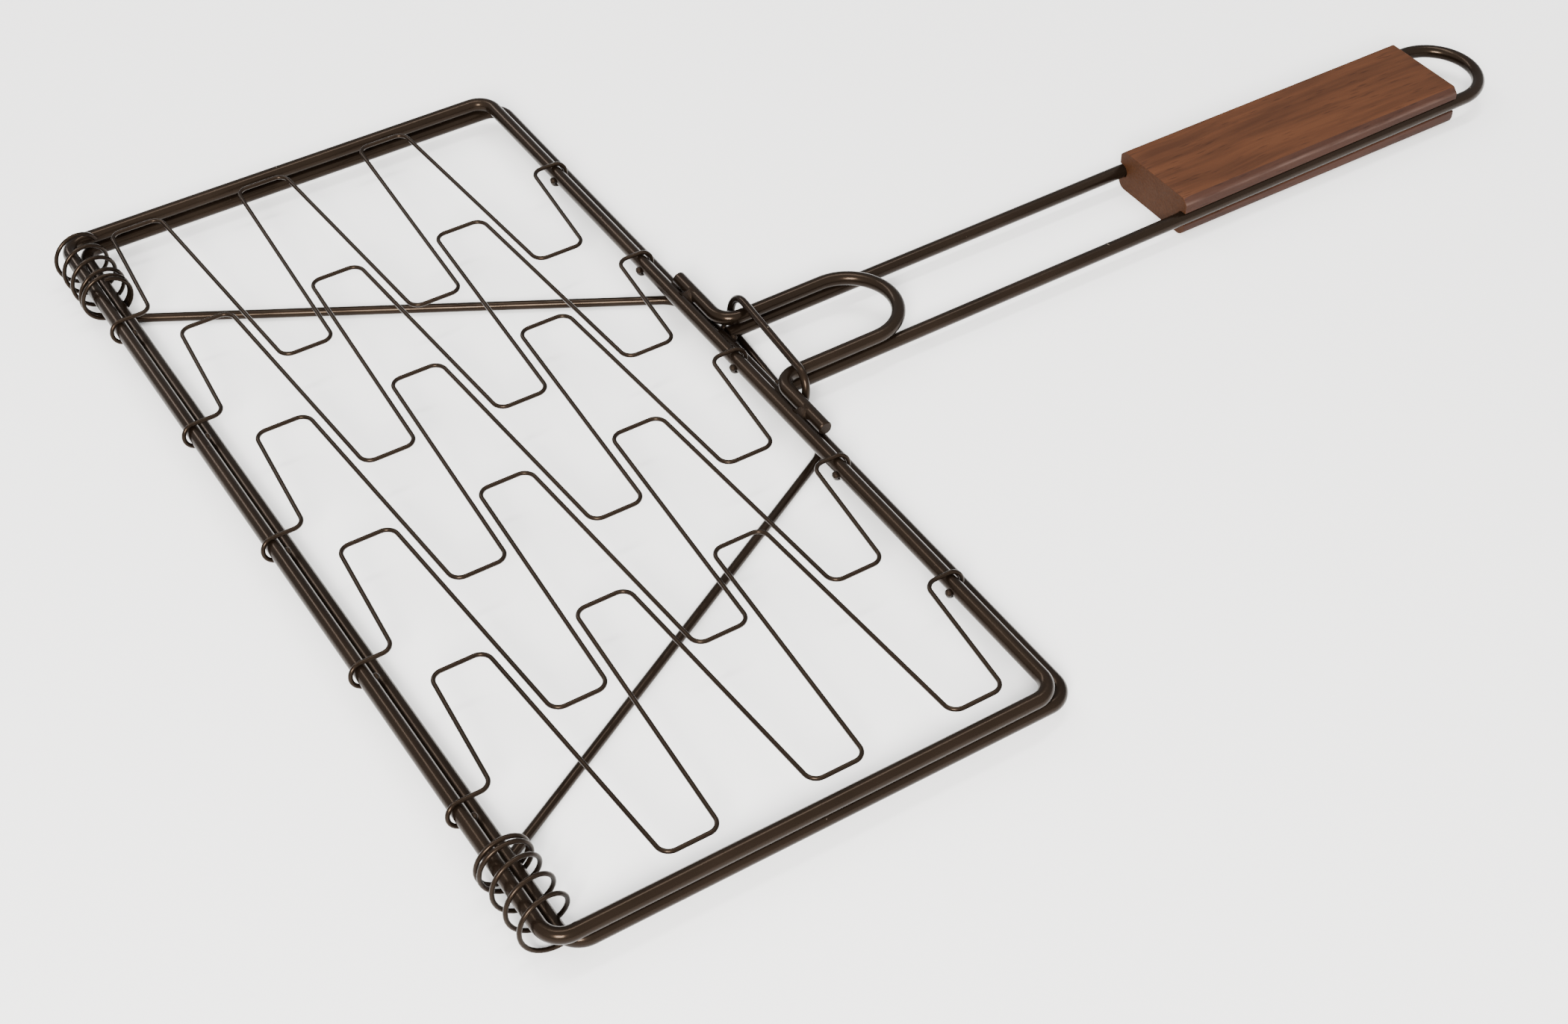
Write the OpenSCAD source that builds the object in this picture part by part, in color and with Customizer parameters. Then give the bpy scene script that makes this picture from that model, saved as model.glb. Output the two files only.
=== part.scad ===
// Grill basket with a sprung wire lid, a wooden grip and a sliding latch ring.
// Z = 0 is the surface the basket lies on, X runs along the hinge side and
// +Y points from the hinge towards the hanging loop.

/* [Basket] */
// Distance between the side rail axes of each frame
frame_w = 356; // [300:1:420]
// Distance between the front and rear rail axes of each frame
frame_d = 166.6; // [150:0.1:200]
// Diameter of the frame and handle rod
rod_d = 5; // [4:0.1:6]
// Bend radius at the rod's axis
bend_r = 7; // [6:0.5:12]
// Distance the lower frame sits behind the upper one
frame_shift = 5.3; // [5:0.1:6]
// Air gap where a moving rod lies on a fixed one
lie_gap = 0.3; // [0.2:0.05:0.6]

/* [Handle] */
// Distance from the middle to each handle leg's axis
leg_x = 17.2; // [15:0.1:20]
// Length of each of the lid handle's feet from the middle to its cut end
foot_reach = 46.5; // [40:0.5:60]
// Gap that the weld beads bridge between the lid handle's feet and the rear rail
foot_gap = 1.2; // [0.3:0.1:2]
// Distance from the hinge rail to the far end of the lid handle
lid_handle_end = 229.5; // [215:0.5:250]
// Gap between the cut ends of the long handle's legs and the lower rear rail
butt_gap = 0.1; // [0:0.05:0.5]
// Distance from the hinge rail to the far end of the hanging loop
loop_end = 498.4; // [450:0.1:540]

/* [Grip] */
// Length of the wooden grip
grip_len = 130.6; // [110:0.1:150]
// Width of the wooden grip
grip_w = 37.5; // [36:0.5:44]
// Height of the wooden grip
grip_h = 16.1; // [14:0.1:20]
// Distance from the grip to the far end of the hanging loop
grip_to_loop_end = 23.4; // [20:0.1:40]
// Width of the bevel on the upper long edges
grip_bevel = 2.2; // [1:0.1:4]
// Radius of the lower long edges
grip_round = 3.5; // [1:0.1:4]

/* [Grid wires] */
// Diameter of the grid wire and of the spring wire
wire_d = 1.5; // [1.2:0.1:2]
// Distance between neighbouring grid wires
wire_pitch = 62.1; // [55:0.1:64]
// Distance from a wire's middle to its end bars
lobe_x = 46.8; // [40:0.1:48]
// Distance between two end bars on the same side
lobe_pitch = 47.8; // [46:0.1:50]
// Height of an end bar between the leg axes
lobe_h = 18.2; // [15:0.1:22]
// Bend radius of the wire at its axis
wire_bend_r = 4; // [3:0.5:5]
// Sideways travel of the wire as it hooks around a rail
hook_advance = 4; // [3:0.1:6]

/* [Braces and latch] */
// Diameter of the brace rod
brace_d = 3.2; // [3:0.1:4]
// Distance from the middle to each brace's front end
brace_front_x = 141.5; // [120:0.5:142]
// Distance from the middle to the corner where a brace turns under the rear rail
brace_rear_x = 46; // [38:0.5:60]
// Bend radius of a brace at its axis
brace_bend_r = 12; // [10:0.5:18]
// Diameter of the latch ring's wire
ring_wire_d = 2.8; // [2.5:0.1:3.2]
// Length of the latch ring's straight runs
ring_straight = 38.4; // [36:0.1:42]
// Height of the latch ring between its wire axes
ring_h = 14.4; // [14:0.1:16]
// How far the resting ring leans back towards the grip
ring_lean = 10; // [0:1:12]
// How far the resting ring is turned across the handle
ring_yaw = 4; // [0:1:5]
// How far the resting ring lies to one side
ring_side = 1.2; // [0:0.1:2]

/* [Springs] */
// Outside diameter of the hinge springs
spring_od = 18.3; // [17.5:0.1:20]
// Where the inner end of each spring lies, from the middle
spring_start = 143.75; // [143.5:0.05:146]
// Length of each spring between the axes of its first and last turns
spring_len = 30.65; // [26:0.05:31]
// Close turns at the inner end of each spring
closed_turns = 1.75; // [1:0.25:2]
// Turns in the open part of each spring
open_turns = 3.4375; // [3:0.0625:5]

/* [Hidden] */
rod_r = rod_d / 2;
wire_r = wire_d / 2;
brace_r = brace_d / 2;
ring_r = ring_wire_d / 2;

brace_z = brace_r;
lower_z = brace_d + rod_r;
upper_z = lower_z + rod_d + lie_gap;
grid_z = upper_z + rod_r + wire_r;

upper_front = 0;
upper_rear = frame_d;
lower_front = frame_shift;
lower_rear = frame_d + frame_shift;
lid_foot = upper_rear + rod_d + foot_gap;
handle_start = lower_rear + rod_r + butt_gap;
// The braces' rear runs lie under the rear rail, a little towards the handle
brace_run_y = lower_rear + 1.2;
brace_front_y = lower_front - 1;

spring_r = (spring_od - wire_d) / 2;
spring_y = frame_shift / 2 + 0.2;
spring_z = spring_od / 2;

grip_far = loop_end - grip_to_loop_end;
grip_near = grip_far - grip_len;
grip_mid = (grip_near + grip_far) / 2;
// The rods climb gently from the basket to the middle of the grip's height
rise = asin((grip_h / 2 - lower_z) / (grip_mid - handle_start));
// The grip's side slots are a little wider than the rods that lie in them
slot_r = rod_r + 0.8;
slot_x = leg_x + 0.3;

ring_y = lower_rear + 7.2;
ring_z = ring_r + 0.1 + ring_h / 2;

weld_x = 36;
back_y = loop_end + rod_r;
front_y = spring_y - spring_od / 2;
// Moves the middle of the whole basket's length to the origin
centre_y = -(front_y + back_y) / 2;

coating = "#2e2824";
wood = "#6b4332";
facets = 48;

// ---- Rods made of straight lengths and round bends ----

// A straight rod along X from x0 to x1
module rod_x(x0, x1, d) {
    translate([x0, 0, 0]) rotate([0, 90, 0]) cylinder(h = x1 - x0, d = d, $fn = facets);
}

// A straight rod along Y from y0 to y1
module rod_y(y0, y1, d) {
    translate([0, y0, 0]) rotate([-90, 0, 0]) cylinder(h = y1 - y0, d = d, $fn = facets);
}

// A round bend about the Z axis, from one angle through a sweep
module bend(r, from, sweep, d) {
    rotate([0, 0, from]) rotate_extrude(angle = sweep, $fn = facets * 2)
        translate([r, 0]) circle(d = d, $fn = facets);
}

// A closed rectangle of rod with rounded corners, its front rail on the X axis
module rod_rectangle() {
    side = frame_w / 2;
    corner_x = side - bend_r;
    corner_y = frame_d - bend_r;
    rod_x(-corner_x, corner_x, rod_d);
    translate([0, frame_d, 0]) rod_x(-corner_x, corner_x, rod_d);
    for (sx = [-1, 1]) translate([sx * side, 0, 0]) rod_y(bend_r, corner_y, rod_d);
    translate([corner_x, corner_y, 0]) bend(bend_r, 0, 90, rod_d);
    translate([-corner_x, corner_y, 0]) bend(bend_r, 90, 90, rod_d);
    translate([-corner_x, bend_r, 0]) bend(bend_r, 180, 90, rod_d);
    translate([corner_x, bend_r, 0]) bend(bend_r, 270, 90, rod_d);
}

// Two legs along Y joined by a round end at the given length
module hairpin(start, length) {
    leg_end = length - leg_x;
    for (sx = [-1, 1]) translate([sx * leg_x, 0, 0]) rod_y(start, leg_end, rod_d);
    translate([0, leg_end, 0]) bend(leg_x, 0, 180, rod_d);
}

// Two feet along X, each bent round to where a leg starts, foot axis on X
module feet() {
    for (side = [0, 1]) mirror([side, 0, 0]) {
        rod_x(leg_x + bend_r, foot_reach, rod_d);
        translate([leg_x + bend_r, bend_r, 0]) bend(bend_r, 180, 90, rod_d);
    }
}

// ---- Wire swept along a list of points ----

function unit(v) = v / norm(v);
function tangents(p) = [
    for (i = [0 : len(p) - 1])
        unit(p[min(i + 1, len(p) - 1)] - p[max(i - 1, 0)])
];
// Carries a normal along the wire without twisting it
function normals(t, first) = [
    for (i = 0, n = unit(first - (first * t[0]) * t[0]); i < len(t);
         i = i + 1, n = i < len(t) ? unit(n - (n * t[i]) * t[i]) : n) n
];

// A round wire of the given radius along the points, with flat ends
module wire_along(points, r, first, sides = 8) {
    t = tangents(points);
    n = normals(t, first);
    last = len(points) - 1;
    rings = [
        for (i = [0 : last]) for (k = [0 : sides - 1])
            points[i] + r * (cos(360 * k / sides) * n[i]
                             + sin(360 * k / sides) * cross(t[i], n[i]))
    ];
    walls = [
        for (i = [0 : last - 1]) for (k = [0 : sides - 1])
            [i * sides + k, i * sides + (k + 1) % sides,
             (i + 1) * sides + (k + 1) % sides, (i + 1) * sides + k]
    ];
    start_cap = [[for (k = [sides - 1 : -1 : 0]) k]];
    end_cap = [[for (k = [0 : sides - 1]) last * sides + k]];
    polyhedron(rings, concat(walls, start_cap, end_cap), convexity = 10);
}

// Points of a bend of radius r that rounds the corner b between a and c
function rounded(a, b, c, r, steps) =
    let (u = unit(a - b), v = unit(c - b),
         half = acos(max(-1, min(1, u * v))) / 2,
         middle = b + unit(u + v) * r / sin(half),
         start = b + u * r / tan(half) - middle,
         finish = b + v * r / tan(half) - middle,
         arc = 180 - 2 * half)
    [for (s = [0 : steps])
        middle + (sin(arc * (1 - s / steps)) * start + sin(arc * s / steps) * finish) / sin(arc)];

// ---- Lid ----

module upper_frame() color(coating)
    translate([0, upper_front, upper_z]) rod_rectangle();

module lid_handle() color(coating)
    translate([0, lid_foot, upper_z]) rotate([rise, 0, 0]) {
        feet();
        hairpin(bend_r, lid_handle_end - lid_foot);
    }

// Corners of one grid wire from front to rear, each end bar beside the next
first_lobe = frame_d - 46.8 - 2 * lobe_pitch;
function grid_corners(x) = concat(
    [[x, first_lobe - lobe_h / 2 - 4, grid_z]],
    [for (i = [0 : 5])
        let (side = i % 2 == 0 ? -1 : 1, y = first_lobe + i * lobe_pitch / 2)
        for (end = [-1, 1]) [x + side * lobe_x, y + end * lobe_h / 2, grid_z]],
    [[x, first_lobe + 2.5 * lobe_pitch + lobe_h / 2 + 4.8, grid_z]]
);

// Hook around a rail: over the top, down the outside and back underneath
hook_r = rod_r + wire_r + 0.25;
hook_turn = 265;
hook_steps = 12;
function hook(x, rail_y, out) = [
    for (a = [0 : hook_turn / hook_steps : hook_turn + 0.1])
        [x + hook_advance * a / hook_turn,
         rail_y + out * (0.3 + hook_r * sin(a)),
         upper_z - 0.25 + hook_r * cos(a)]
];

function grid_path(x) =
    let (c = grid_corners(x), front = hook(x, upper_front, -1), rear = hook(x, upper_rear, 1),
         all = concat([front[0]], c, [rear[0]]))
    concat(
        [for (i = [len(front) - 1 : -1 : 0]) front[i]],
        [for (i = [1 : len(all) - 2])
            each rounded(all[i - 1], all[i], all[i + 1], wire_bend_r, 4)],
        rear
    );

module grid_wire(index) color(coating)
    wire_along(grid_path((index - 3) * wire_pitch), wire_r, [1, 0, 0]);

// A weld bead with the rods it joins left out of it
module bead(r) {
    difference() {
        sphere(r = r, $fn = facets);
        children();
    }
}

module lid_handle_welds() color(coating)
    for (sx = [-1, 1])
        translate([sx * weld_x, upper_rear + rod_r + foot_gap / 2, upper_z + 1]) bead(2.9) {
            translate([0, -rod_r - foot_gap / 2, -1]) rod_x(-9, 9, rod_d);
            translate([0, rod_r + foot_gap / 2, -1]) rod_x(-9, 9, rod_d);
        }

// One small bead where each hooked wire end meets its rail
module hook_welds(rail_y, out) color(coating)
    for (i = [-2 : 2]) {
        tip = hook(i * wire_pitch, rail_y, out)[hook_steps];
        translate(tip) bead(1.35)
            translate([0, rail_y - tip[1], upper_z - tip[2]]) rod_x(-6, 6, rod_d);
    }

module grid_front_welds() hook_welds(upper_front, -1);
module grid_rear_welds() hook_welds(upper_rear, 1);

// ---- Base ----

module lower_frame() color(coating)
    translate([0, lower_front, lower_z]) rod_rectangle();

module handle_rod() color(coating)
    translate([0, handle_start, lower_z]) rotate([rise, 0, 0])
        hairpin(0, loop_end - handle_start);

// A diagonal brace under the frame that turns to run under the rear rail
function brace_path(side) =
    let (front = [side * brace_front_x, brace_front_y, brace_z],
         corner = [side * brace_rear_x, brace_run_y, brace_z],
         middle = [side * 0.4, brace_run_y, brace_z])
    concat([front], rounded(front, corner, middle, brace_bend_r, 8), [middle]);

module brace_rod(side) color(coating)
    wire_along(brace_path(side), brace_r, [0, 0, 1], 16);

module brace_rod_left() brace_rod(-1);
module brace_rod_right() brace_rod(1);

// A bead at either side of each leg where it butts against the lower rear rail
module handle_welds() color(coating)
    for (sx = [-1, 1]) for (off = [-3.3, 3.3]) {
        bead_y = lower_rear + 3.3;
        translate([sx * leg_x + off, bead_y, lower_z]) rotate([0, 0, 90]) bead(1.5) {
            translate([lower_rear - bead_y, 0, 0]) rotate([0, 0, 90]) rod_x(-6, 6, rod_d);
            translate([0, off, 0]) rotate([0, 0, 90]) rod_y(-12, 6, rod_d);
        }
    }

// A bead between each brace and the front rail that it crosses under
module brace_front_welds() color(coating)
    for (side = [-1, 1]) {
        along = [brace_front_x - brace_rear_x, brace_run_y - brace_front_y];
        x = brace_front_x - (lower_front - brace_front_y) * along[0] / along[1];
        translate([side * x, lower_front, brace_d]) bead(2.2) {
            translate([0, 0, rod_r]) rod_x(-9, 9, rod_d);
            translate([0, 0, -brace_r]) rotate([0, 0, side * atan2(along[0], along[1])])
                rod_y(-9, 9, brace_d + 0.2);
        }
    }

// A bead behind the rear rail where each brace's rear run starts
module brace_rear_welds() color(coating)
    for (side = [-1, 1]) {
        bead_y = lower_rear + 2.3;
        translate([side * weld_x, bead_y, brace_d + 0.1]) bead(1.5) {
            translate([0, lower_rear - bead_y, lower_z - brace_d - 0.1]) rod_x(-6, 6, rod_d);
            translate([0, brace_run_y - bead_y, brace_z - brace_d - 0.1])
                rod_x(-6, 6, brace_d + 0.4);
        }
    }

// Cross-section of the grip: bevelled above, rounded below, slotted at the sides
module grip_profile() {
    half = grip_w / 2;
    difference() {
        union() {
            translate([-half + grip_round, 0]) square([grip_w - 2 * grip_round, grip_round]);
            for (sx = [-1, 1]) translate([sx * (half - grip_round), grip_round])
                circle(r = grip_round, $fn = facets);
            polygon([
                [-half, grip_round], [half, grip_round], [half, grip_h - grip_bevel],
                [half - grip_bevel, grip_h], [-half + grip_bevel, grip_h],
                [-half, grip_h - grip_bevel]
            ]);
        }
        for (sx = [-1, 1]) translate([sx * slot_x, grip_h / 2]) {
            circle(r = slot_r, $fn = facets);
            translate([sx * slot_r - slot_r, -slot_r]) square([2 * slot_r, 2 * slot_r]);
        }
    }
}

module grip() color(wood)
    translate([0, grip_far, 0]) rotate([90, 0, 0]) linear_extrude(height = grip_len)
        grip_profile();

// ---- Hinge springs and latch ring ----

// Close turns at the inner end, then open turns out to the frame's corner. Both
// springs are the same, so one turns on as X grows and the other as X falls.
function spring_path(side) =
    let (steps = 16, closed_len = 1.45 * wire_d * closed_turns,
         first = side > 0 ? -67.5 : 90)
    [for (i = [0 : (closed_turns + open_turns) * steps])
        let (turn = i / steps,
             x = turn < closed_turns ? closed_len * turn / closed_turns
                 : closed_len + (spring_len - closed_len) * (turn - closed_turns) / open_turns,
             a = first + side * 360 * turn)
        [side * (spring_start + x), spring_y + spring_r * cos(a), spring_z + spring_r * sin(a)]];

module hinge_spring(side) color(coating)
    wire_along(spring_path(side), wire_r, [side, 0, 0]);

module hinge_spring_left() hinge_spring(-1);
module hinge_spring_right() hinge_spring(1);

// An oval ring round all four legs, that slides off the lid's handle to free it
module latch_ring() color(coating)
    translate([ring_side, ring_y, ring_z]) rotate([-ring_lean, 0, -ring_yaw]) rotate([90, 0, 0])
        for (side = [-1, 1]) {
            translate([0, side * ring_h / 2, 0])
                rod_x(-ring_straight / 2, ring_straight / 2, ring_wire_d);
            translate([side * ring_straight / 2, 0, 0])
                bend(ring_h / 2, side > 0 ? 270 : 90, 180, ring_wire_d);
        }

translate([0, centre_y, 0]) {
    upper_frame();
    lid_handle();
    grid_wire(1);  // grid_wire_1
    grid_wire(2);  // grid_wire_2
    grid_wire(3);  // grid_wire_3
    grid_wire(4);  // grid_wire_4
    grid_wire(5);  // grid_wire_5
    lid_handle_welds();
    grid_front_welds();
    grid_rear_welds();
    lower_frame();
    handle_rod();
    brace_rod_left();
    brace_rod_right();
    handle_welds();
    brace_front_welds();
    brace_rear_welds();
    grip();
    hinge_spring_left();
    hinge_spring_right();
    latch_ring();
}
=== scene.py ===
import math
import bmesh
import bpy
from mathutils import Matrix, Vector, noise


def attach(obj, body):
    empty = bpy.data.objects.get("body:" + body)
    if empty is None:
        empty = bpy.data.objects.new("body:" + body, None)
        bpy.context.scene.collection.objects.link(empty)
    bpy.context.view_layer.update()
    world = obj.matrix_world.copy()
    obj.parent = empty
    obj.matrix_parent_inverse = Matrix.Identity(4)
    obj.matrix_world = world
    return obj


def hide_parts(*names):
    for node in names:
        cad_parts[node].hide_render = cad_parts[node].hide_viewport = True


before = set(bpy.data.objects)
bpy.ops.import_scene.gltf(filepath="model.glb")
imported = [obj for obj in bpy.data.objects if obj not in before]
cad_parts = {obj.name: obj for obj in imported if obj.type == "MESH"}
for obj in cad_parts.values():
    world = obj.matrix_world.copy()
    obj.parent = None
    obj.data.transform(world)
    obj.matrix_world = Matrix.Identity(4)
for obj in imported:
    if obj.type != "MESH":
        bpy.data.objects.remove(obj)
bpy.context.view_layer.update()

# The object's lengths are in millimetres. Those in materials, and of the floor and the lights, are
# in metres. Y = 0 is the axis of the lid's front rail, until row() moves it.
MM = 0.001
X, Y, Z = Vector((1, 0, 0)), Vector((0, 1, 0)), Vector((0, 0, 1))

# Radii: the rods of frames and handles, the braces, the latch ring, the grid wires and springs
ROD, BRACE, RING, WIRE = 2.5, 1.6, 1.4, 0.75

# How each stock is drawn: its sides, the bevel at its cut ends, and how uneven its coating is.
# The rods are drawn a hair thin, to stay inside the CAD's box.
ROD_STOCK = dict(radius=ROD - 0.02, sides=32, cap=0.35, wobble=0.02)
BRACE_STOCK = dict(radius=BRACE, sides=24, cap=0.2, wobble=0.02)
RING_STOCK = dict(radius=RING, sides=24, cap=0.3, wobble=0.02)
WIRE_STOCK = dict(radius=WIRE, sides=12, cap=0.12, wobble=0.0)

# The two frames: the lid's lies on the base's, which is set back by SHIFT
SIDE_X = 178.0
DEPTH = 166.6
SHIFT = 5.3
BEND = 7.0
LIE_GAP = 0.3
LOWER_Z = 2 * BRACE + ROD
UPPER_Z = LOWER_Z + 2 * ROD + LIE_GAP
LOWER_REAR = SHIFT + DEPTH

# The two handles
LEG_X = 17.2
FOOT_X = 46.5
FOOT_GAP = 1.2
BUTT_GAP = 0.1
LID_FOOT = DEPTH + 2 * ROD + FOOT_GAP
LID_END = 229.5
HANDLE_START = LOWER_REAR + ROD + BUTT_GAP
LOOP_END = 498.4

# The braces, which lie on the floor under the lower frame. They start at BRACE_FRONT, under the
# front rail, and turn inwards at BRACE_RUN, along the rear rail.
BRACE_FRONT_X = 141.5
BRACE_REAR_X = 46.0
BRACE_TIP_X = 0.4
BRACE_FRONT = SHIFT - 1
BRACE_RUN = LOWER_REAR + 1.2
BRACE_BEND = 12
BRACE_BEND_STEPS = 10

# The grip, and the slope that brings the handle's legs to half its height at its middle
GRIP_W = 37.5
GRIP_H = 16.1
GRIP_LEN = 130.6
GRIP_TO_LOOP_END = 23.4
GRIP_FAR = LOOP_END - GRIP_TO_LOOP_END
GRIP_NEAR = GRIP_FAR - GRIP_LEN
GRIP_MID = (GRIP_NEAR + GRIP_FAR) / 2
RISE = math.asin((GRIP_H / 2 - LOWER_Z) / (GRIP_MID - HANDLE_START))
BEVEL = 2.0

# The springs stand on the floor, so the height of their axis is also their outer radius
SPRING_Y = SHIFT / 2 + 0.2
SPRING_Z = 9.15

RING_Y = LOWER_REAR + 7.2
WELD_X = 36

# Added to Y, this puts the middle of the whole length, from springs to hanging loop, at 0
CENTRE_Y = -(LOOP_END + ROD + SPRING_Y - SPRING_Z) / 2


def row(p):
    """A point in millimetres from the lid's front rail, as metres in the CAD's frame."""
    return Vector((p[0], p[1] + CENTRE_Y, p[2])) * MM


# ---- Paths ----

# A corner that turns by less than twice this, in radians, is left as it is
NEARLY_STRAIGHT = 0.004


def arc(centre, a, b, r, start, stop, steps):
    """Points of a circle about centre, in the plane of the unit vectors a and b, in degrees."""
    out = []
    for i in range(steps + 1):
        t = math.radians(start + (stop - start) * i / steps)
        out.append(centre + a * (r * math.cos(t)) + b * (r * math.sin(t)))
    return out


def rounded(corners, radius, steps, closed=False):
    """The corners with each inner one rounded to the radius."""
    n = len(corners)
    out = []
    for i, b in enumerate(corners):
        if not closed and i in (0, n - 1):
            out.append(b.copy())
            continue
        u = (corners[i - 1] - b).normalized()
        v = (corners[(i + 1) % n] - b).normalized()
        half = u.angle(v) / 2
        if math.pi / 2 - half < NEARLY_STRAIGHT:
            out.append(b.copy())
            continue
        middle = b + (u + v).normalized() * (radius / math.sin(half))
        first = b + u * (radius / math.tan(half)) - middle
        last = b + v * (radius / math.tan(half)) - middle
        turn = math.pi - 2 * half
        for s in range(steps + 1):
            k = s / steps
            p = first * math.sin(turn * (1 - k)) + last * math.sin(turn * k)
            out.append(middle + p / math.sin(turn))
    return out


def spread(points, step, closed=False):
    """The same path with extra points wherever two are further apart than the step."""
    out = []
    pairs = list(zip(points, points[1:] + points[:1]))
    if not closed:
        pairs = pairs[:-1]
    for a, b in pairs:
        n = max(1, int((b - a).length / step))
        out += [a.lerp(b, i / n) for i in range(n)]
    if not closed:
        out.append(points[-1])
    return out


# ---- Meshes ----

# Cells of the coating's unevenness for each millimetre
WOBBLE_SCALE = 0.35


def skin(bm, rings):
    """Faces from each ring of points to the next."""
    n = len(rings[0])
    for a, b in zip(rings, rings[1:]):
        for k in range(n):
            m = (k + 1) % n
            bm.faces.new((a[k], a[m], b[m], b[k]))


def close_ends(bm, rings):
    """A flat face over the first and the last ring."""
    bm.faces.new(list(reversed(rings[0])))
    bm.faces.new(rings[-1])


def finish_mesh(bm, name, body, node, material, smooth_angle=40):
    """Makes the object from the bmesh, with its material, its body and the node it stands for."""
    bmesh.ops.recalc_face_normals(bm, faces=bm.faces)
    for f in bm.faces:
        f.smooth = True
    limit = math.radians(smooth_angle)
    for e in bm.edges:
        if len(e.link_faces) == 2 and e.calc_face_angle(0) > limit:
            e.smooth = False
    mesh = bpy.data.meshes.new(name)
    bm.to_mesh(mesh)
    bm.free()
    obj = bpy.data.objects.new(name, mesh)
    bpy.context.scene.collection.objects.link(obj)
    mesh.materials.append(material)
    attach(obj, body)
    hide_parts(node)


def sweep(bm, points, closed, radius, sides, cap, wobble):
    """A round rod along the points, its cut ends with a fine bevel of size cap."""
    pts = [Vector(p) for p in points]
    n = len(pts)
    tangents = []
    for i in range(n):
        before = pts[i - 1] if closed or i else pts[0]
        after = pts[(i + 1) % n] if closed or i < n - 1 else pts[-1]
        tangents.append((after - before).normalized())
    up = X if abs(tangents[0].dot(Z)) > 0.9 else Z
    normal = (up - tangents[0] * up.dot(tangents[0])).normalized()
    normals = [normal]
    for t0, t1 in zip(tangents, tangents[1:]):
        normal = t0.rotation_difference(t1) @ normal
        normal = (normal - t1 * normal.dot(t1)).normalized()
        normals.append(normal)
    twist = 0.0
    if closed:
        last = tangents[-1].rotation_difference(tangents[0]) @ normals[-1]
        twist = math.atan2(tangents[0].dot(last.cross(normals[0])), last.dot(normals[0]))
    stations = [(pts[i], i, 1.0) for i in range(n)]
    if not closed:
        a, b = tangents[0], tangents[-1]
        stations[0] = (pts[0] + a * cap, 0, 1.0)
        stations[-1] = (pts[-1] - b * cap, n - 1, 1.0)
        shrink = (radius - cap) / radius
        stations = [(pts[0], 0, shrink)] + stations + [(pts[-1], n - 1, shrink)]
    rings = []
    for centre, i, scale in stations:
        across = tangents[i].cross(normals[i])
        turn = twist * i / n
        ring = []
        for k in range(sides):
            t = 2 * math.pi * k / sides + turn
            way = normals[i] * math.cos(t) + across * math.sin(t)
            bump = 0.5 + 0.5 * noise.noise((centre + way * radius) * WOBBLE_SCALE)
            ring.append(bm.verts.new(row(centre + way * (radius * scale - wobble * bump))))
        rings.append(ring)
    if closed:
        skin(bm, rings + rings[:1])
    else:
        skin(bm, rings)
        close_ends(bm, rings)


def rod_piece(name, body, node, path, stock, closed=False):
    """One object: a piece of the stock that follows the path."""
    bm = bmesh.new()
    sweep(bm, path, closed, **stock)
    finish_mesh(bm, name, body, node, COATING)


# ---- Materials ----

REFLECTION_TINT = (1, 0.72, 0.52, 1)


class Nodes:
    """Short ways to add nodes to the tree of a material or world, and to join them."""

    def __init__(self, owner):
        owner.use_nodes = True
        self.tree = owner.node_tree

    def fill(self, node, inputs):
        """Links or sets the node's inputs."""
        for key, value in inputs.items():
            if isinstance(value, bpy.types.NodeSocket):
                self.tree.links.new(value, node.inputs[key])
            else:
                node.inputs[key].default_value = value

    def shade(self, inputs):
        """Links or sets the inputs of the material's shader."""
        self.fill(self.tree.nodes["Principled BSDF"], inputs)

    def add(self, kind, output, inputs=None, **settings):
        """Any node, by its type and the name of the output."""
        node = self.tree.nodes.new(kind)
        for key, value in settings.items():
            setattr(node, key, value)
        self.fill(node, inputs or {})
        return node.outputs[output]

    def noise(self, vector, scale, detail, roughness=0.5, output="Fac"):
        inputs = {"Vector": vector, "Scale": scale, "Detail": detail, "Roughness": roughness}
        return self.add("ShaderNodeTexNoise", output, inputs)

    def ramp(self, value, *stops):
        """A colour for the value, from two (place, colour) stops."""
        output = self.add("ShaderNodeValToRGB", "Color", {"Fac": value})
        for element, (place, colour) in zip(output.node.color_ramp.elements, stops):
            element.position = place
            element.color = (*colour, 1)
        return output

    def mix(self, factor, a, b, blend_type="MIX"):
        inputs = {"Factor": factor, "A": a, "B": b}
        return self.add("ShaderNodeMix", "Result", inputs, data_type="RGBA", blend_type=blend_type)

    def math(self, operation, *values):
        return self.add("ShaderNodeMath", "Value", dict(enumerate(values)), operation=operation)

    def span(self, value, low, high, to_low=0.0, to_high=1.0):
        """The value, with low to high mapped to to_low to to_high, and held at those ends."""
        inputs = {"Value": value, "From Min": low, "From Max": high, "To Min": to_low, "To Max": to_high}
        return self.add("ShaderNodeMapRange", "Result", inputs)

    def stretched(self, vector, along):
        """The place with its Y scaled, so that a pattern runs long along Y."""
        return self.add("ShaderNodeMapping", "Vector", {"Vector": vector, "Scale": (1.0, along, 1.0)})

    def bump(self, height, strength, distance):
        inputs = {"Height": height, "Strength": strength, "Distance": distance}
        return self.add("ShaderNodeBump", "Normal", inputs)

    def facing(self, axis, low, high):
        """0 on faces that look along the axis less than low, 1 on those that do more than high."""
        normal = self.add("ShaderNodeTexCoord", "Normal")
        part = self.add("ShaderNodeSeparateXYZ", axis, {"Vector": normal})
        return self.span(self.math("ABSOLUTE", part), low, high)


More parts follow.
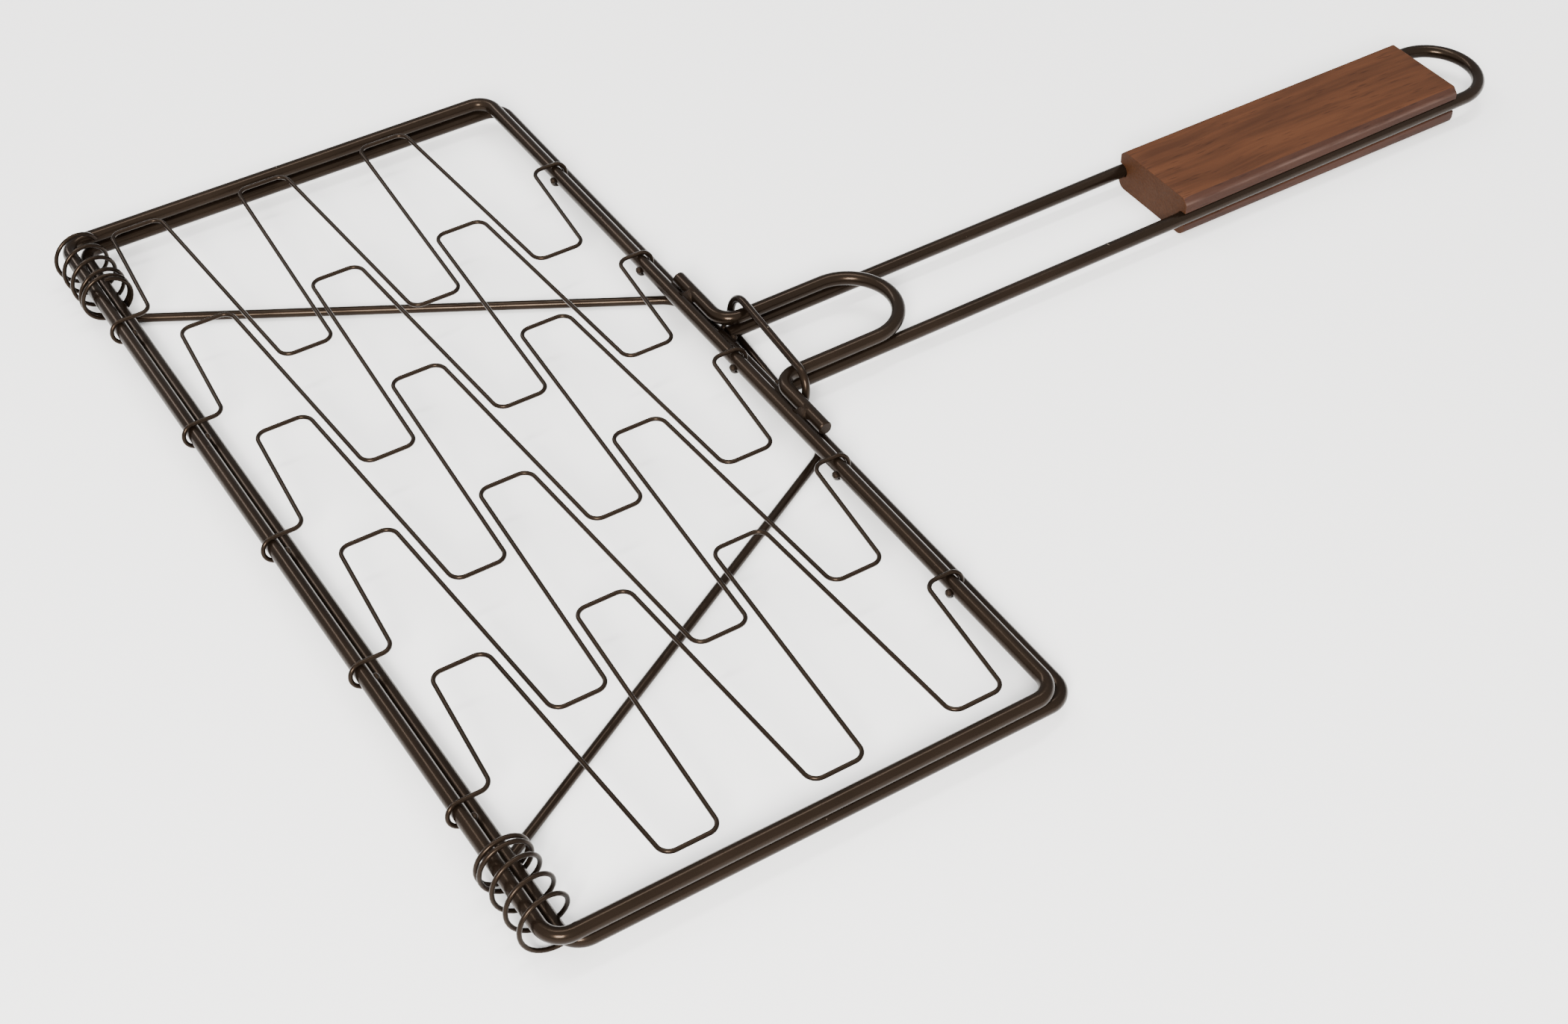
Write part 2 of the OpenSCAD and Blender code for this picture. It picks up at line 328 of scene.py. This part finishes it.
def coating_material():
    """Satin black-brown coating on steel, slightly uneven, with a few rubbed spots."""
    material = bpy.data.materials.new("coating")
    nodes = Nodes(material)
    coords = nodes.add("ShaderNodeTexCoord", "Object")
    broad = nodes.noise(coords, 34.0, 3.0)
    tone = nodes.ramp(broad, (0.3, (0.0032, 0.0020, 0.0013)), (0.7, (0.0060, 0.0038, 0.0025)))
    nicks = nodes.ramp(nodes.noise(coords, 460.0, 3.0), (0.765, (0, 0, 0)), (0.79, (1, 1, 1)))
    nick_tone = (0.085, 0.070, 0.056, 1)
    nodes.shade({
        "Base Color": nodes.mix(nicks, tone, nick_tone),
        "Roughness": nodes.span(broad, 0.25, 0.75, 0.19, 0.27),
        "Normal": nodes.bump(nodes.noise(coords, 900.0, 2.0), strength=0.12, distance=0.12 * MM),
        "Specular IOR Level": 0.16,
        "Specular Tint": REFLECTION_TINT})
    return material


def weld_material():
    """The same coating over a weld: duller and rough."""
    material = bpy.data.materials.new("coated_weld")
    nodes = Nodes(material)
    lumps = nodes.noise(nodes.add("ShaderNodeTexCoord", "Object"), 1400.0, 4.0)
    nodes.shade({
        "Base Color": nodes.ramp(lumps, (0.35, (0.0035, 0.0022, 0.0015)), (0.65, (0.0095, 0.0064, 0.0046))),
        "Roughness": 0.42,
        "Normal": nodes.bump(lumps, strength=0.6, distance=0.4 * MM),
        "Specular IOR Level": 0.12,
        "Specular Tint": REFLECTION_TINT})
    return material


def sideways_shade_and_edge_highlight(nodes, coords, wood):
    """The colour for faces that look sideways, the bevels and the sides: painted shade, a darker
    purple-brown, with a painted highlight as a pale line, in patches, where the bevels meet the sides.
    """
    # Painted shade: the wood darkened to purple-brown
    shaded_wood = nodes.mix(1.0, wood, (0.54, 0.62, 0.98, 1), "MULTIPLY")
    # Painted highlight: a thin pale line along the bevels' lower edge, broken into patches
    height = nodes.add("ShaderNodeSeparateXYZ", "Z", {"Vector": coords})
    off_edge = nodes.math("ABSOLUTE", nodes.math("SUBTRACT", height, (GRIP_H - BEVEL) * MM))
    highlight_line = nodes.span(off_edge, 0.75 * MM, 0.1 * MM)
    patches = nodes.span(nodes.noise(nodes.stretched(coords, 0.12), 420.0, 4.0), 0.30, 0.75)
    highlight_tone = (0.064, 0.038, 0.030, 1)
    return nodes.mix(nodes.math("MULTIPLY", highlight_line, patches), shaded_wood, highlight_tone)


def wood_material():
    """Dark oiled walnut: fine grain along Y, short pores, darker end grain, and painted shade with a painted
    edge highlight on the bevels and sides.
    """
    material = bpy.data.materials.new("walnut")
    nodes = Nodes(material)
    coords = nodes.add("ShaderNodeTexCoord", "Object")
    sway = nodes.add("ShaderNodeVectorMath", "Vector", operation="MULTIPLY",
                     inputs={0: nodes.noise(coords, 9.0, 2.0, output="Color"), 1: (0.012, 0.0, 0.012)})
    swayed = nodes.add("ShaderNodeVectorMath", "Vector", {0: coords, 1: sway}, operation="ADD")
    fibres = nodes.stretched(swayed, 0.045)
    grain = nodes.noise(fibres, 330.0, 5.0, roughness=0.62)
    bands = nodes.noise(fibres, 75.0, 3.0)
    pores = nodes.add("ShaderNodeTexVoronoi", "Distance",
                      {"Vector": nodes.stretched(swayed, 0.10), "Scale": 820.0, "Randomness": 1.0})

    base = nodes.ramp(bands, (0.3, (0.043, 0.0152, 0.0060)), (0.7, (0.058, 0.0212, 0.0086)))
    streaks = nodes.ramp(grain, (0.35, (0.68, 0.65, 0.62)), (0.62, (1.1, 1.09, 1.08)))
    holes = nodes.ramp(pores, (0.10, (0.42, 0.38, 0.36)), (0.26, (1, 1, 1)))
    wood = nodes.mix(0.65, nodes.mix(1.0, base, streaks, "MULTIPLY"), holes, "MULTIPLY")
    # Painted shade and a painted edge highlight on the faces that look sideways: the bevels and the sides
    sides = nodes.mix(nodes.facing("X", 0.45, 0.62), wood, sideways_shade_and_edge_highlight(nodes, coords, wood))
    dots = nodes.noise(coords, 1500.0, 3.0)
    end_grain = nodes.ramp(dots, (0.3, (0.024, 0.0076, 0.0016)), (0.7, (0.033, 0.0108, 0.0026)))
    nodes.shade({
        "Base Color": nodes.mix(nodes.facing("Y", 0.75, 0.95), sides, end_grain),
        "Roughness": nodes.span(grain, 0.0, 1.0, 0.52, 0.74),
        "Normal": nodes.bump(nodes.math("MULTIPLY", grain, pores), strength=0.35, distance=0.25 * MM),
        "Specular IOR Level": 0.12})
    return material


COATING = coating_material()
WELD = weld_material()
WOOD = wood_material()


# ---- The two frames and the two handles ----

ROD_STEP = 6.0
BEND_STEPS = 12
LOOP_STEPS = 36


def rectangle(front, z):
    """The closed path of a frame whose front rail lies at this Y."""
    corners = [Vector((x, front + y, z)) for x, y in
               ((SIDE_X, 0), (SIDE_X, DEPTH), (-SIDE_X, DEPTH), (-SIDE_X, 0))]
    return spread(rounded(corners, BEND, BEND_STEPS, closed=True), ROD_STEP, closed=True)


def hairpin(start_y, z, end_y, feet):
    """Two legs along Y and a round end, with or without feet, tilted up by the handle's rise."""
    leg_end = end_y - start_y - LEG_X
    right = [X * LEG_X, X * LEG_X + Y * leg_end]
    if feet:
        right = rounded([X * FOOT_X] + right, BEND, BEND_STEPS)
    end = arc(Y * leg_end, X, Y, LEG_X, 0, 180, LOOP_STEPS)
    left = [Vector((-p.x, p.y, 0)) for p in reversed(right)]
    flat = spread(right[:-1] + end + left[1:], ROD_STEP)
    tilt = Matrix.Rotation(RISE, 3, "X")
    return [tilt @ p + Vector((0, start_y, z)) for p in flat]


rod_piece("upper_rod_frame", "lid", "upper_frame", rectangle(0, UPPER_Z), ROD_STOCK, closed=True)
rod_piece("lower_rod_frame", "base", "lower_frame", rectangle(SHIFT, LOWER_Z), ROD_STOCK, closed=True)
rod_piece("lid_u_handle", "lid", "lid_handle", hairpin(LID_FOOT, UPPER_Z, LID_END, True), ROD_STOCK)
rod_piece("long_handle_rod", "base", "handle_rod", hairpin(HANDLE_START, LOWER_Z, LOOP_END, False), ROD_STOCK)


# ---- Braces ----

def brace(side):
    """Under the lower front rail, diagonally back, then along under the rear rail."""
    corners = [(BRACE_FRONT_X, BRACE_FRONT), (BRACE_REAR_X, BRACE_RUN), (BRACE_TIP_X, BRACE_RUN)]
    path = rounded([Vector((side * x, y, BRACE)) for x, y in corners], BRACE_BEND, BRACE_BEND_STEPS)
    return spread(path, ROD_STEP)


for label, side in (("left", -1), ("right", 1)):
    rod_piece("brace_" + label, "base", "brace_rod_" + label, brace(side), BRACE_STOCK)


# ---- Grid wires ----

GRID_Z = UPPER_Z + ROD + WIRE
WIRE_COUNT = 5
PITCH = 62.1
WIRE_BEND = 4.0
WIRE_BEND_STEPS = 8
WIRE_STEP = 5.0

# Each wire turns back at six end bars, LOBE_H long, to the left and to the right by turns
LOBES = 6
LOBE_X, LOBE_PITCH, LOBE_H = 46.8, 47.8, 18.2
LAST_LOBE = DEPTH - 22.9
FIRST_LOBE = LAST_LOBE - (LOBES - 1) * LOBE_PITCH / 2
FRONT_RUN, REAR_RUN = 4.0, 4.8

HOOK_PLAY = 0.25
HOOK_OUT = 0.3
HOOK_R = ROD + WIRE + HOOK_PLAY
HOOK_TURN = 265
HOOK_ADVANCE = 4.0
HOOK_STEPS = 20


def hook(x, rail_y, out):
    """Over the rail, down its outer side and back underneath, from the top onwards."""
    points = []
    for i in range(HOOK_STEPS + 1):
        k = i / HOOK_STEPS
        a = math.radians(HOOK_TURN * k)
        y = rail_y + out * (HOOK_OUT + HOOK_R * math.sin(a))
        points.append(Vector((x + HOOK_ADVANCE * k, y, UPPER_Z - HOOK_PLAY + HOOK_R * math.cos(a))))
    return points


def grid_path(x):
    """One wire: front hook, six end bars left and right, rear hook."""
    corners = [Vector((x, FIRST_LOBE - LOBE_H / 2 - FRONT_RUN, GRID_Z))]
    for i in range(LOBES):
        lobe_x = x + LOBE_X * (-1 if i % 2 == 0 else 1)
        y = FIRST_LOBE + i * LOBE_PITCH / 2
        corners += [Vector((lobe_x, y - LOBE_H / 2, GRID_Z)), Vector((lobe_x, y + LOBE_H / 2, GRID_Z))]
    corners.append(Vector((x, LAST_LOBE + LOBE_H / 2 + REAR_RUN, GRID_Z)))
    front, rear = hook(x, 0, -1), hook(x, DEPTH, 1)
    inner = rounded([front[0]] + corners + [rear[0]], WIRE_BEND, WIRE_BEND_STEPS)[1:-1]
    return spread(list(reversed(front)) + inner + rear, WIRE_STEP)


WIRE_PLACES = [(k - (WIRE_COUNT - 1) / 2) * PITCH for k in range(WIRE_COUNT)]
for k, x in enumerate(WIRE_PLACES, 1):
    rod_piece("wavy_wire_%d" % k, "lid", "grid_wire_%d" % k, grid_path(x), WIRE_STOCK)


# ---- Hinge springs ----

SPRING_START, SPRING_LEN = 143.75, 30.65
CLOSE_TURNS, OPEN_TURNS = 1.75, 3.4375
CLOSE_PITCH = 1.45 * 2 * WIRE
FIRST_ANGLE = {1: -67.5, -1: 90}
TURN_STEPS = 32


def spring(side):
    """Close turns at the inner end, then open turns; both springs are wound the same way."""
    r = SPRING_Z - WIRE
    close_len = CLOSE_PITCH * CLOSE_TURNS
    points = []
    for i in range(int((CLOSE_TURNS + OPEN_TURNS) * TURN_STEPS) + 1):
        turn = i / TURN_STEPS
        x = CLOSE_PITCH * turn
        if turn > CLOSE_TURNS:
            x = close_len + (SPRING_LEN - close_len) * (turn - CLOSE_TURNS) / OPEN_TURNS
        a = math.radians(FIRST_ANGLE[side] + side * 360 * turn)
        place = Vector((side * (SPRING_START + x), SPRING_Y, SPRING_Z))
        points.append(place + Y * (r * math.cos(a)) + Z * (r * math.sin(a)))
    return points


for label, side in (("left", -1), ("right", 1)):
    rod_piece("coil_" + label, "springs", "hinge_spring_" + label, spring(side), WIRE_STOCK)


# ---- Latch ring ----

RING_END_R, RING_HALF = 7.2, 19.2
RING_YAW, RING_LEAN = -4, -10
RING_ASIDE = 1.2
RING_CLEAR = 0.1
RING_BUTT = 0.02
RING_END_STEPS = 24
RING_STEP = 3.0


def ring_path():
    """An oval around all four legs, that rests leaning back and a little askew."""
    flat = [X * RING_BUTT - Z * RING_END_R]
    flat += arc(X * RING_HALF, X, Z, RING_END_R, -90, 90, RING_END_STEPS)
    flat += arc(X * -RING_HALF, X, Z, RING_END_R, 90, 270, RING_END_STEPS)
    flat.append(X * -RING_BUTT - Z * RING_END_R)
    lean = Matrix.Rotation(math.radians(RING_LEAN), 3, "X")
    yaw = Matrix.Rotation(math.radians(RING_YAW), 3, "Z")
    middle = Vector((RING_ASIDE, RING_Y, RING + RING_CLEAR + RING_END_R))
    return spread([yaw @ lean @ p + middle for p in flat], RING_STEP)


rod_piece("oval_latch_ring", "ring", "latch_ring", ring_path(), RING_STOCK)


# ---- Weld beads ----

WELD_SMOOTH = 80

# Where the beads' centres lie: in from a wire's tip; out from a leg's axis and from the rear rail's;
# and for a brace, behind the rear rail's axis and above the brace's top
TIP_BEAD_IN = 0.2
LEG_BEAD_OFF = 3.15
REAR_BEAD_OFF, REAR_BEAD_UP = 2.25, 0.1


def puddle(bm, centre, axes, size):
    """A smooth domed lump. Its size is half its length, half its width, its height and its depth."""
    along, across, up = axes
    length, width, rise, depth = size
    result = bmesh.ops.create_icosphere(bm, subdivisions=4, radius=1)
    for v in result["verts"]:
        p = v.co.copy()
        high = rise if p.z > 0 else depth
        ripple = 1 + 0.05 * math.sin(3.1 * p.x) * max(p.z, 0)
        spot = centre + along * (p.x * length) + across * (p.y * width) + up * (p.z * high * ripple)
        lumps = noise.noise(spot * 0.9) * 0.12 + noise.noise(spot * 2.3) * 0.16
        v.co = row(spot + up * lumps * max(p.z, 0))


def beads(name, body, node, spots):
    """One object of all the beads, each with its centre, axes and size."""
    bm = bmesh.new()
    for centre, axes, size in spots:
        puddle(bm, centre, axes, size)
    finish_mesh(bm, name, body, node, WELD, smooth_angle=WELD_SMOOTH)


def saddle(bm, x, y, z):
    """A weld run that bridges two parallel rods along X, hollow across and tapering at its ends."""
    half_len, half_width, height, depth, foot = 2.8, 2.35, 1.32, 1.0, 0.5
    taper, hollow, fall, lumpy = 0.75, 0.25, 2.0, 0.16
    half_rings, half_points = 12, 6
    rings = []
    for i in range(2 * half_rings + 1):
        u = math.sin(math.pi / 2 * (i / half_rings - 1))
        wide = half_width * (1 - abs(u) ** 3 * taper)
        top = []
        for k in range(2 * half_points + 1):
            v = (k / half_points - 1) * wide
            lump = lumpy * noise.noise(Vector((u * 2.2 + x, v * 0.8, 3)))
            top.append(Vector((x + half_len * u, y + v, z + height + hollow * v * v - fall * u ** 4 + lump)))
        under = [Vector((p.x, y + (p.y - y) * foot, z - depth)) for p in reversed(top)]
        rings.append([bm.verts.new(row(p)) for p in top + under])
    skin(bm, rings)
    close_ends(bm, rings)


def saddles():
    """The two welds between the lid handle's feet and the rear rail."""
    bm = bmesh.new()
    for side in (-1, 1):
        saddle(bm, side * WELD_X, DEPTH + ROD + FOOT_GAP / 2, UPPER_Z)
    finish_mesh(bm, "lid_handle_beads", "lid", "lid_handle_welds", WELD, smooth_angle=WELD_SMOOTH)


def leg_spots():
    """The beads on both sides of each leg's butt end, at the lower rear rail."""
    off = LEG_BEAD_OFF
    return [(Vector((side * LEG_X + x, LOWER_REAR + off, LOWER_Z)), (Z, Y, X), (1.45, 1.3, 1.3, 1.3))
            for side in (-1, 1) for x in (-off, off)]


def hook_spots(rail_y, out):
    """The beads at the ends of the hooked wires."""
    spots = []
    for x in WIRE_PLACES:
        tip = hook(x, rail_y, out)[-1]
        inward = Vector((0, rail_y - tip.y, UPPER_Z - tip.z)).normalized()
        spots.append((tip + inward * TIP_BEAD_IN, (X, inward.cross(X), -inward), (1.3, 1.2, 1.05, 1.1)))
    return spots


def brace_front_spots():
    """The beads between the braces and the lower front rail."""
    run, depth = BRACE_FRONT_X - BRACE_REAR_X, BRACE_RUN - BRACE_FRONT
    x = BRACE_FRONT_X - (SHIFT - BRACE_FRONT) * run / depth
    spots = []
    for side in (-1, 1):
        along = Vector((-side * run, depth, 0)).normalized()
        spots.append((Vector((side * x, SHIFT, 2 * BRACE)), (along, along.cross(Z), Z), (2.1, 2.0, 1.2, 1.2)))
    return spots


def brace_rear_spots():
    """The beads between the braces and the lower rear rail."""
    y, z = LOWER_REAR + REAR_BEAD_OFF, 2 * BRACE + REAR_BEAD_UP
    return [(Vector((side * WELD_X, y, z)), (X, Z, Y), (1.45, 1.4, 1.3, 1.2)) for side in (-1, 1)]


saddles()
beads("handle_beads", "base", "handle_welds", leg_spots())
beads("front_wire_beads", "lid", "grid_front_welds", hook_spots(0, -1))
beads("rear_wire_beads", "lid", "grid_rear_welds", hook_spots(DEPTH, 1))
beads("brace_front_beads", "base", "brace_front_welds", brace_front_spots())
beads("brace_rear_beads", "base", "brace_rear_welds", brace_rear_spots())


# ---- Wooden grip ----

GRIP_ROUND = 3.5
SLOT_R = ROD + 0.12
SLOT_EASE = 0.25
BEVEL_EASE, BEVEL_LIP = 0.4, 0.12
GRIP_SECTIONS = 24
GRIP_SMOOTH = 28


def grip_outline(mid):
    """Cross-section from the bottom middle, right half then left half, with its slots at this height."""
    half, top = GRIP_W / 2, GRIP_H
    right = [(0, 0), (half * 0.5, 0)]
    for i in range(10):
        t = math.radians(10 * i)
        right.append((half - GRIP_ROUND * (1 - math.sin(t)), GRIP_ROUND * (1 - math.cos(t))))
    right += [(half, mid - SLOT_R - SLOT_EASE), (half - SLOT_EASE, mid - SLOT_R)]
    for i in range(16):
        t = math.radians(12 * i)
        right.append((LEG_X - SLOT_R * math.sin(t), mid - SLOT_R * math.cos(t)))
    right += [(half - SLOT_EASE, mid + SLOT_R), (half, mid + SLOT_R + SLOT_EASE)]
    right += [(half, top - BEVEL - BEVEL_EASE), (half - BEVEL_LIP, top - BEVEL)]
    right += [(half - BEVEL, top - BEVEL_LIP), (half - BEVEL - BEVEL_EASE, top)]
    right += [(half * 0.5, top), (0, top)]
    left = [(-x, z) for x, z in reversed(right[1:-1])]
    return [Vector(p) for p in right + left]


def grip_stations():
    """Y and inset of each section: the end edges are slightly eased."""
    edge = [(0.0, 0.2), (0.07, 0.07), (0.25, 0.0)]
    start, length = GRIP_NEAR + edge[-1][0], GRIP_LEN - 2 * edge[-1][0]
    near = [(GRIP_NEAR + y, inset) for y, inset in edge]
    between = [(start + length * i / GRIP_SECTIONS, 0.0) for i in range(1, GRIP_SECTIONS)]
    far = [(GRIP_FAR - y, inset) for y, inset in reversed(edge)]
    return near + between + far


def grip():
    """The block as closely spaced sections, whose slots follow the handle's legs."""
    bm = bmesh.new()
    rings = []
    for y, inset in grip_stations():
        outline = grip_outline(LOWER_Z + (y - HANDLE_START) * math.tan(RISE))
        n = len(outline)
        ring = []
        for i, p in enumerate(outline):
            edge = (outline[(i + 1) % n] - outline[i - 1]).normalized()
            q = p + Vector((-edge.y, edge.x)) * inset
            ring.append(bm.verts.new(row((q.x, y, q.y))))
        rings.append(ring)
    skin(bm, rings)
    # Each end is closed by strips that run level from side to side
    for ring, turn in ((rings[0], -1), (rings[-1], 1)):
        for k in range(n // 2):
            corners = [ring[k], ring[k + 1], ring[(n - k - 1) % n], ring[(n - k) % n]]
            bm.faces.new(list(dict.fromkeys(corners))[::turn])
    finish_mesh(bm, "walnut_grip", "base", "grip", WOOD, smooth_angle=GRIP_SMOOTH)


grip()


# ---- Floor, light and camera ----

FLOOR_SIZE = 6
FLOOR_DROP = 0.2 * MM
FLOOR_GREY = 0.93
WINDOW_WAY = (0.62, -0.42, 0.66)
DIMMEST, BRIGHTEST = 0.6, 2.3
WARM_WHITE = (1, 0.97, 0.93)
SOFT_WHITE = (1, 0.985, 0.965)


def floor():
    """A plain pale floor far wider than the view."""
    bm = bmesh.new()
    bmesh.ops.create_grid(bm, x_segments=1, y_segments=1, size=FLOOR_SIZE)
    mesh = bpy.data.meshes.new("floor")
    bm.to_mesh(mesh)
    bm.free()
    obj = bpy.data.objects.new("floor", mesh)
    bpy.context.scene.collection.objects.link(obj)
    material = bpy.data.materials.new("pale_floor")
    grey = (FLOOR_GREY, FLOOR_GREY, FLOOR_GREY, 1)
    Nodes(material).shade({"Base Color": grey, "Roughness": 0.9, "Specular IOR Level": 0.1})
    mesh.materials.append(material)
    obj.location = (0, 0, -FLOOR_DROP)


def area(name, place, target, size, power, colour):
    """A soft rectangular light aimed at a point."""
    data = bpy.data.lights.new(name, "AREA")
    data.shape = "RECTANGLE"
    data.size, data.size_y = size
    data.energy = power
    data.color = colour
    obj = bpy.data.objects.new(name, data)
    bpy.context.scene.collection.objects.link(obj)
    obj.location = place
    obj.rotation_euler = (Vector(target) - Vector(place)).to_track_quat("-Z", "Y").to_euler()


def room():
    """A white room, brightest on the window side: to the right, in front of the hinge, and above."""
    world = bpy.data.worlds.new("studio")
    bpy.context.scene.world = world
    nodes = Nodes(world)
    way = nodes.add("ShaderNodeTexCoord", "Generated")
    window_side = nodes.add("ShaderNodeVectorMath", "Value", {0: way, 1: WINDOW_WAY}, operation="DOT_PRODUCT")
    strength = nodes.span(window_side, -0.3, 1.0, DIMMEST, BRIGHTEST)
    nodes.fill(nodes.tree.nodes["Background"], {"Color": (1, 1, 1, 1), "Strength": strength})


def camera():
    """The photograph's viewpoint: from the right of the hinge side, looking down."""
    data = bpy.data.cameras.new("camera")
    data.sensor_width = 36
    data.lens = 57.108
    data.shift_x = -0.00186
    data.shift_y = 0.00081
    data.clip_start = 0.05
    obj = bpy.data.objects.new("camera", data)
    bpy.context.scene.collection.objects.link(obj)
    obj.location = row((545.5, -160.5, 546.8))
    azimuth, elevation, roll = math.radians(-32.54), math.radians(43.71), math.radians(-0.03)
    level = X * math.cos(azimuth) + Y * math.sin(azimuth)
    outward = level * math.cos(elevation) + Z * math.sin(elevation)
    turn = outward.to_track_quat("Z", "Y").to_matrix() @ Matrix.Rotation(roll, 3, "Z")
    obj.rotation_euler = turn.to_euler()
    bpy.context.scene.camera = obj


floor()
area("beside_camera", (1.25, -1.05, 1.05), (0, -0.1, 0), (0.6, 0.6), 100, WARM_WHITE)
area("left_strip", (-1.4, -0.5, 1.4), (0, -0.2, 0), (0.28, 1.3), 15, WARM_WHITE)
area("overhead_strip", (-0.35, 0.3, 1.8), (-0.35, 0.25, 0), (0.28, 1.3), 20, SOFT_WHITE)
room()
camera()
